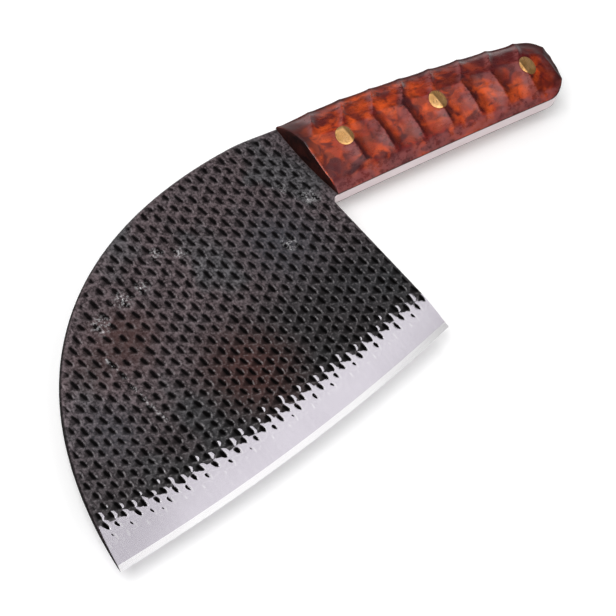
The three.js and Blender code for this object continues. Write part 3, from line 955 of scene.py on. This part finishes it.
def woodFinish(name, specular):
    material, tree, shader, place = startMaterial(name)
    onAxis = put(tree, "ShaderNodeMapping", {"Vector": place, "Rotation": (0.0, 0.0, droop)}).outputs[0]
    placing = {"Vector": onAxis, "Location": (0.05, 0.0, 0.0), "Scale": (0.75, 1.0, 1.0)}
    figure = put(tree, "ShaderNodeMapping", placing).outputs[0]
    tone = useGroup(tree, mottle, {
        "Place": figure, "Patch Scale": 120.0, "Speckle Scale": 420.0, "Speckle": 0.35,
        "Tone A": (0.19, 0.009, 0.005, 1), "Tone B": (0.58, 0.070, 0.009, 1),
        "Tone C": (0.030, 0.003, 0.005, 1)})
    fibres = put(tree, "ShaderNodeMapping", {"Vector": onAxis, "Scale": (0.08, 1.0, 1.0)}).outputs[0]
    fibre = grainNoise(tree, fibres, 1500.0, 4.0, 0.6, 0.3)
    # painted light: the deeper the gouge, the more it is mixed toward a brighter orange, as lit gouge
    # bottoms
    gouge = between(tree, attribute(tree, "gouge"), 0.2, 1.2, 0.0, 0.4)
    lined = mixed(tree, between(tree, fibre, 0.57, 0.74, 0.0, 0.6), tone["Color"], (0.03, 0.004, 0.004, 1))
    lined = mixed(tree, gouge, lined, (0.55, 0.070, 0.011, 1))
    smoke = between(tree, grainNoise(tree, figure, 70.0, 3.0, 0.55, 0.8), 0.46, 0.66, 0.0, 0.5)
    lined = mixed(tree, smoke, lined, (0.085, 0.008, 0.011, 1))
    burl = between(tree, grainNoise(tree, figure, 210.0, 2.0, 0.5, 0.7), 0.44, 0.66, 0.0, 0.8)
    lined = mixed(tree, burl, lined, (0.055, 0.005, 0.008, 1))
    # painted shade on the rear back edge, the front corners and the butt end
    lined = mixed(tree, attribute(tree, "paintedEdgeShade"), lined, (0.075, 0.008, 0.011, 1))
    # painted shade: steep sides and the rim band are mixed toward near black
    facing = put(tree, "ShaderNodeNewGeometry").outputs["Normal"]
    rise = maths(tree, "ABSOLUTE", put(tree, "ShaderNodeSeparateXYZ", {0: facing}).outputs["Z"])
    wall = maths(tree, "MAXIMUM", between(tree, rise, 0.8, 0.5), attribute(tree, "rim"))
    # painted sheen: ridge lands and the belly band are mixed toward a pale pinkish tone, broken up by the
    # speckle
    sheenBreakup = between(tree, tone["Speckle"], 0.32, 0.62, 0.12, 0.75)
    wearAndSheen = maths(tree, "MULTIPLY", attribute(tree, "paintedSheen"), sheenBreakup)
    lined = mixed(tree, wearAndSheen, lined, (0.28, 0.07, 0.066, 1))
    # painted shade in the hollow past each ridge, broken up by the patches
    patchy = between(tree, tone["Patch"], 0.38, 0.58, 1.0, 0.7)
    hollowShade = maths(tree, "MULTIPLY", attribute(tree, "hollowShade"), patchy)
    withHollowShade = mixed(tree, hollowShade, lined, (0.03, 0.003, 0.004, 1))
    shade = maths(tree, "MULTIPLY", wall, 0.9)
    tree.links.new(mixed(tree, shade, withHollowShade, (0.03, 0.004, 0.004, 1)), shader.inputs["Base Color"])
    shader.inputs["Specular IOR Level"].default_value = specular
    gloss = between(tree, tone["Speckle"], 0.3, 0.7, 0.24, 0.34)
    roughness = put(tree, "ShaderNodeMix", {0: wall, 2: gloss, 3: 0.6}, data_type="FLOAT").outputs[0]
    tree.links.new(roughness, shader.inputs["Roughness"])
    bump = put(tree, "ShaderNodeBump", {"Strength": 0.12, "Distance": 0.0002, "Height": fibre})
    tree.links.new(bump.outputs[0], shader.inputs["Normal"])
    return material


# Near-black walls: real end grain at the front and the butt, painted shade on the side walls
def endGrainAndShadeFinish():
    material, tree, shader, place = startMaterial("Dark end grain and painted wall shade")
    tone = useGroup(tree, mottle, {
        "Place": place, "Patch Scale": 150.0, "Speckle Scale": 1800.0, "Speckle": 0.4,
        "Tone A": (0.022, 0.006, 0.005, 1), "Tone B": (0.04, 0.009, 0.007, 1),
        "Tone C": (0.012, 0.004, 0.004, 1)})
    tree.links.new(tone["Color"], shader.inputs["Base Color"])
    tree.links.new(between(tree, tone["Speckle"], 0.3, 0.7, 0.6, 0.8), shader.inputs["Roughness"])
    shader.inputs["Specular IOR Level"].default_value = 0.1
    return material


def brassFinish():
    material, tree, shader, place = startMaterial("Ground brass")
    lines = useGroup(tree, polishingLines, {"Place": place, "Turn": (0.0, 0.0, 0.4), "Scale": 1600.0})
    tone = useGroup(tree, mottle, {
        "Place": place, "Patch Scale": 160.0, "Speckle Scale": 1500.0, "Speckle": 0.12,
        "Tone A": (0.72, 0.38, 0.14, 1), "Tone B": (0.78, 0.44, 0.18, 1), "Tone C": (0.60, 0.31, 0.10, 1)})
    tree.links.new(tone["Color"], shader.inputs["Base Color"])
    tree.links.new(between(tree, lines["Lines"], 0.3, 0.7, 0.26, 0.36), shader.inputs["Roughness"])
    shader.inputs["Metallic"].default_value = 0.85
    bump = put(tree, "ShaderNodeBump", {"Strength": 0.05, "Distance": 0.0001, "Height": lines["Lines"]})
    tree.links.new(bump.outputs[0], shader.inputs["Normal"])
    return material


def epoxyFinish():
    material, tree, shader, place = startMaterial("Cured glue line")
    tone = useGroup(tree, mottle, {
        "Place": place, "Patch Scale": 200.0, "Speckle Scale": 1500.0, "Speckle": 0.2,
        "Tone A": (0.05, 0.018, 0.014, 1), "Tone B": (0.07, 0.025, 0.018, 1),
        "Tone C": (0.035, 0.012, 0.01, 1)})
    tree.links.new(tone["Color"], shader.inputs["Base Color"])
    tree.links.new(between(tree, tone["Speckle"], 0.3, 0.7, 0.3, 0.5), shader.inputs["Roughness"])
    return material


edgeTurn = (0.0, 0.0, 1.4)
makeBlade({
    "forged": forgedFinish(),
    "honed": plainSteel("Honed bevel", (0.94, 0.92, 0.94, 1), (0.97, 0.96, 0.97, 1), (0.2, 0.23), edgeTurn),
    "tang": plainSteel("Satin tang", (0.59, 0.50, 0.51, 1), (0.64, 0.56, 0.57, 1), (0.28, 0.38), edgeTurn),
})
makeScales({
    "face": woodFinish("Oiled carved hardwood", 0.36),
    "butt": woodFinish("Handled butt wood", 0.12),
    "wall": endGrainAndShadeFinish(),
})
makePins(brassFinish())
glue = epoxyFinish()
for node in ("upper_epoxy_bed", "lower_epoxy_bed"):
    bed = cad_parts[node]
    bed.data.materials.clear()
    bed.data.materials.append(glue)

# Studio: pale floor, soft light, and the photograph's viewpoint
studio = {
    "elevation": 52.0,
    "facing": (0.838, 0.546),  # from the knife toward the camera, in plan
    "roll": 20.0,
    "distance": 1.05,
    "aim": (21.19, 13.57, 14.90),  # mm in the frame, at the middle of the picture
    "focal": 160.8,
    "floorSize": 12.0,
    "floorColour": (0.82, 0.82, 0.82, 1),
    "floorLift": 0.28,
    "floorGap": 0.0002,
    "skyLow": 0.1,
    "skyHigh": 0.22,
}


def makeCamera():
    facing = Vector((*studio["facing"], 0)).normalized()
    side = Vector((-facing.y, facing.x, 0))
    elevation, roll = math.radians(studio["elevation"]), math.radians(studio["roll"])
    back = facing * math.cos(elevation) + Vector((0, 0, math.sin(elevation)))
    up = back.cross(side)
    right = side * math.cos(roll) + up * math.sin(roll)
    top = up * math.cos(roll) - side * math.sin(roll)
    data = bpy.data.cameras.new("camera")
    data.lens = studio["focal"]
    data.sensor_width = 36
    data.clip_end = 50
    camera = bpy.data.objects.new("camera", data)
    bpy.context.scene.collection.objects.link(camera)
    place = Vector(studio["aim"]) * mm + back * studio["distance"]
    camera.matrix_world = Matrix.Translation(place) @ Matrix((right, top, back)).transposed().to_4x4()
    bpy.context.scene.camera = camera


# Level floor under the lowest ridge of the lower scale
def makeFloor():
    half = studio["floorSize"] / 2
    mesh = bpy.data.meshes.new("floor")
    corners = [(-half, -half, 0), (half, -half, 0), (half, half, 0), (-half, half, 0)]
    mesh.from_pydata(corners, [], [(0, 1, 2, 3)])
    floor = bpy.data.objects.new("floor", mesh)
    bpy.context.scene.collection.objects.link(floor)
    floor.location.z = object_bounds()[0].z - studio["floorGap"]
    material, tree, shader, place = startMaterial("Pale floor")
    shader.inputs["Base Color"].default_value = studio["floorColour"]
    shader.inputs["Roughness"].default_value = 0.9
    shader.inputs["Specular IOR Level"].default_value = 0.0
    path = put(tree, "ShaderNodeLightPath").outputs
    mirrored = maths(tree, "MAXIMUM", path["Is Glossy Ray"], path["Is Transmission Ray"])
    seen = maths(tree, "MAXIMUM", path["Is Camera Ray"], mirrored)
    shader.inputs["Emission Color"].default_value = (1, 1, 1, 1)
    tree.links.new(maths(tree, "MULTIPLY", seen, studio["floorLift"]), shader.inputs["Emission Strength"])
    mesh.materials.append(material)


def makeLamp(name, direction, distance, size, power):
    data = bpy.data.lights.new(name, "AREA")
    data.shape = "ELLIPSE"
    data.size, data.size_y = size
    data.energy = power
    lamp = bpy.data.objects.new(name, data)
    bpy.context.scene.collection.objects.link(lamp)
    toward = Vector(direction).normalized()
    lamp.location = Vector(studio["aim"]) * mm + toward * distance
    lamp.rotation_euler = toward.to_track_quat("Z", "Y").to_euler()


def makeSky():
    world = bpy.data.worlds.new("studio sky")
    bpy.context.scene.world = world
    world.use_nodes = True
    tree = world.node_tree
    tree.nodes.clear()
    direction = put(tree, "ShaderNodeTexCoord").outputs["Generated"]
    rise = put(tree, "ShaderNodeSeparateXYZ", {0: direction}).outputs["Z"]
    level = between(tree, rise, 0.0, 1.0, studio["skyLow"], studio["skyHigh"])
    back = put(tree, "ShaderNodeBackground", {"Color": (1, 1, 1, 1), "Strength": level})
    put(tree, "ShaderNodeOutputWorld", {"Surface": back.outputs[0]})


makeCamera()
makeFloor()
makeSky()
makeLamp("overhead softbox", (-0.45, 0.13, 0.88), 1.0, (1.1, 0.5), 1.15)
makeLamp("key softbox", (0.51, 0.02, 0.86), 1.15, (0.62, 0.62), 8.5)
makeLamp("front sheen", (-0.07, 0.46, 0.885), 1.2, (0.4, 0.75), 2.2)
makeLamp("back sheen", (-0.02, -0.77, 0.63), 1.2, (0.3, 0.8), 2.8)
makeLamp("pin softbox", (-0.15, -0.37, 0.92), 1.2, (0.4, 0.4), 0.7)
makeLamp("window", (-0.36, 0.8, 0.5), 1.2, (0.6, 0.6), 1.0)
bpy.context.scene.view_settings.view_transform = "Standard"
print("studio ready")
